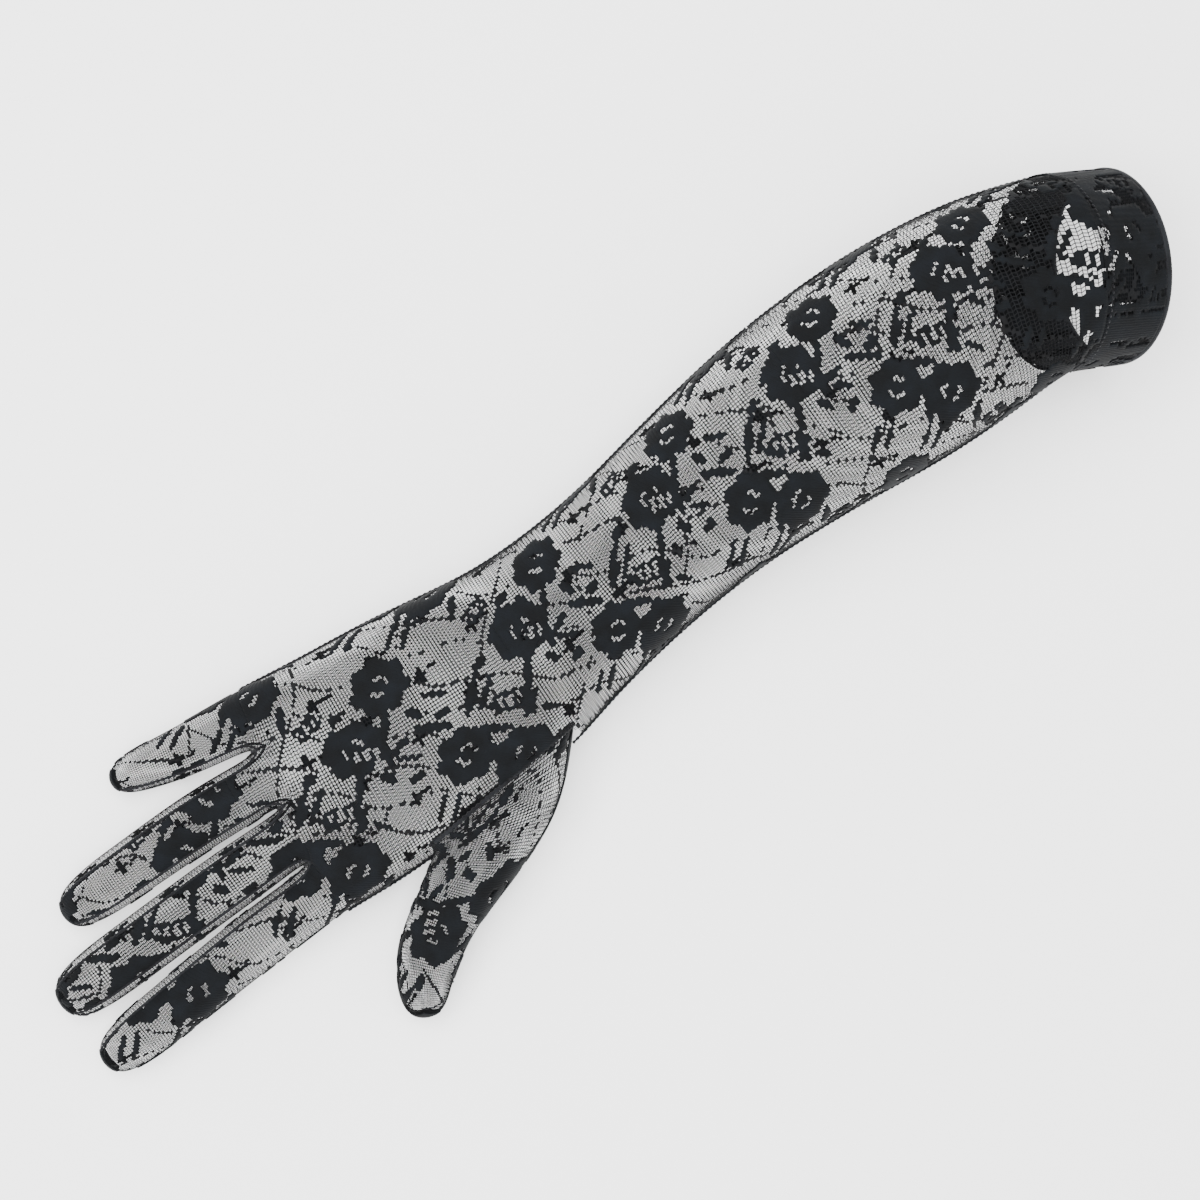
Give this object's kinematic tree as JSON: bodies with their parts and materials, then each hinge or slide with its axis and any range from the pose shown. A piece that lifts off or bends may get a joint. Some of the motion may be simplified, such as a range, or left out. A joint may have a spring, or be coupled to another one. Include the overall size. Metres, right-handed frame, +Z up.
{
  "type": "opera glove",
  "caption": "Elbow-length stretch lace glove for the right hand, in its worn shape, with set-in thumb, fourchettes between the fingers and a doubled hem.",
  "frame": {"origin": "under the middle of the glove's box, on the surface it lies on, palm down", "axes": "+X from the fingertips to the open hem, +Y to the little finger's side, +Z up, out of the back of the hand"},
  "size_m": [0.4057, 0.1267, 0.066],
  "materials": {
    "lace": "black floral lace",
    "hem_lace": "doubled black lace",
    "seam_thread": "matt black thread",
    "elastic": "knitted elastic"
  },
  "bodies": {
    "sleeve": {"hem_elastic": "elastic", "hem_outer_layer": "hem_lace", "hem_rolled_edge": "hem_lace", "hem_stitching": "seam_thread", "hem_turned_layer": "hem_lace", "sleeve_back": "lace", "sleeve_palm": "lace", "sleeve_side_seam": "seam_thread"},
    "hand": {"hand_back": "lace", "hand_palm": "lace", "hand_side_seam": "seam_thread"},
    "thumb": {"thumb_base_back": "lace", "thumb_base_palm": "lace"},
    "thumb_tip": {"thumb_tip_back": "lace", "thumb_tip_palm": "lace"},
    "index": {"index_inner_back": "lace", "index_inner_fourchette_little_side": "lace", "index_inner_palm": "lace"},
    "index_outer": {"index_outer_back": "lace", "index_outer_fourchette_little_side": "lace", "index_outer_palm": "lace"},
    "middle": {"middle_inner_back": "lace", "middle_inner_fourchette_little_side": "lace", "middle_inner_fourchette_thumb_side": "lace", "middle_inner_palm": "lace"},
    "middle_outer": {"middle_outer_back": "lace", "middle_outer_fourchette_little_side": "lace", "middle_outer_fourchette_thumb_side": "lace", "middle_outer_palm": "lace"},
    "ring": {"ring_inner_back": "lace", "ring_inner_fourchette_little_side": "lace", "ring_inner_fourchette_thumb_side": "lace", "ring_inner_palm": "lace"},
    "ring_outer": {"ring_outer_back": "lace", "ring_outer_fourchette_little_side": "lace", "ring_outer_fourchette_thumb_side": "lace", "ring_outer_palm": "lace"},
    "little": {"little_inner_back": "lace", "little_inner_fourchette_thumb_side": "lace", "little_inner_palm": "lace"},
    "little_outer": {"little_outer_back": "lace", "little_outer_fourchette_thumb_side": "lace", "little_outer_palm": "lace"}
  },
  "joints": [
    {"name": "wrist_bend", "type": "hinge", "parent": "sleeve", "child": "hand", "pos_m": [-0.0021, 0.0191, 0.019], "axis": [0, -1, 0], "range_deg": [-50, 50]},
    {"name": "index_knuckle", "type": "hinge", "parent": "hand", "child": "index", "pos_m": [-0.1131, -0.01115, 0.0105], "axis": [0, -1, 0], "range_deg": [-15, 75]},
    {"name": "index_middle_joint", "type": "hinge", "parent": "index", "child": "index_outer", "pos_m": [-0.1411, -0.0131, 0.00875], "axis": [0.0878, -0.9961, 0], "range_deg": [0, 75]},
    {"name": "middle_knuckle", "type": "hinge", "parent": "hand", "child": "middle", "pos_m": [-0.1131, 0.00875, 0.0105], "axis": [0, -1, 0], "range_deg": [-15, 75]},
    {"name": "middle_middle_joint", "type": "hinge", "parent": "middle", "child": "middle_outer", "pos_m": [-0.1441, 0.0065, 0.009], "axis": [0.0669, -0.9978, 0], "range_deg": [0, 75]},
    {"name": "ring_knuckle", "type": "hinge", "parent": "hand", "child": "ring", "pos_m": [-0.1131, 0.02825, 0.0105], "axis": [0, -1, 0], "range_deg": [-15, 75]},
    {"name": "ring_middle_joint", "type": "hinge", "parent": "ring", "child": "ring_outer", "pos_m": [-0.1371, 0.0273, 0.0085], "axis": [0.0398, -0.9992, 0], "range_deg": [0, 75]},
    {"name": "little_knuckle", "type": "hinge", "parent": "hand", "child": "little", "pos_m": [-0.1131, 0.0466, 0.0105], "axis": [0, -1, 0], "range_deg": [-15, 75]},
    {"name": "little_middle_joint", "type": "hinge", "parent": "little", "child": "little_outer", "pos_m": [-0.129, 0.0478, 0.0075], "axis": [-0.1274, -0.9918, 0], "range_deg": [0, 75]},
    {"name": "thumb_root", "type": "hinge", "parent": "hand", "child": "thumb", "pos_m": [-0.0511, -0.01365, 0.013], "axis": [0.9917, 0.1282, 0], "range_deg": [-8, 24]},
    {"name": "thumb_tip_bend", "type": "hinge", "parent": "thumb", "child": "thumb_tip", "pos_m": [-0.0921, -0.0404, 0.0095], "axis": [0.5446, -0.8387, 0], "range_deg": [0, 50]}
  ]
}
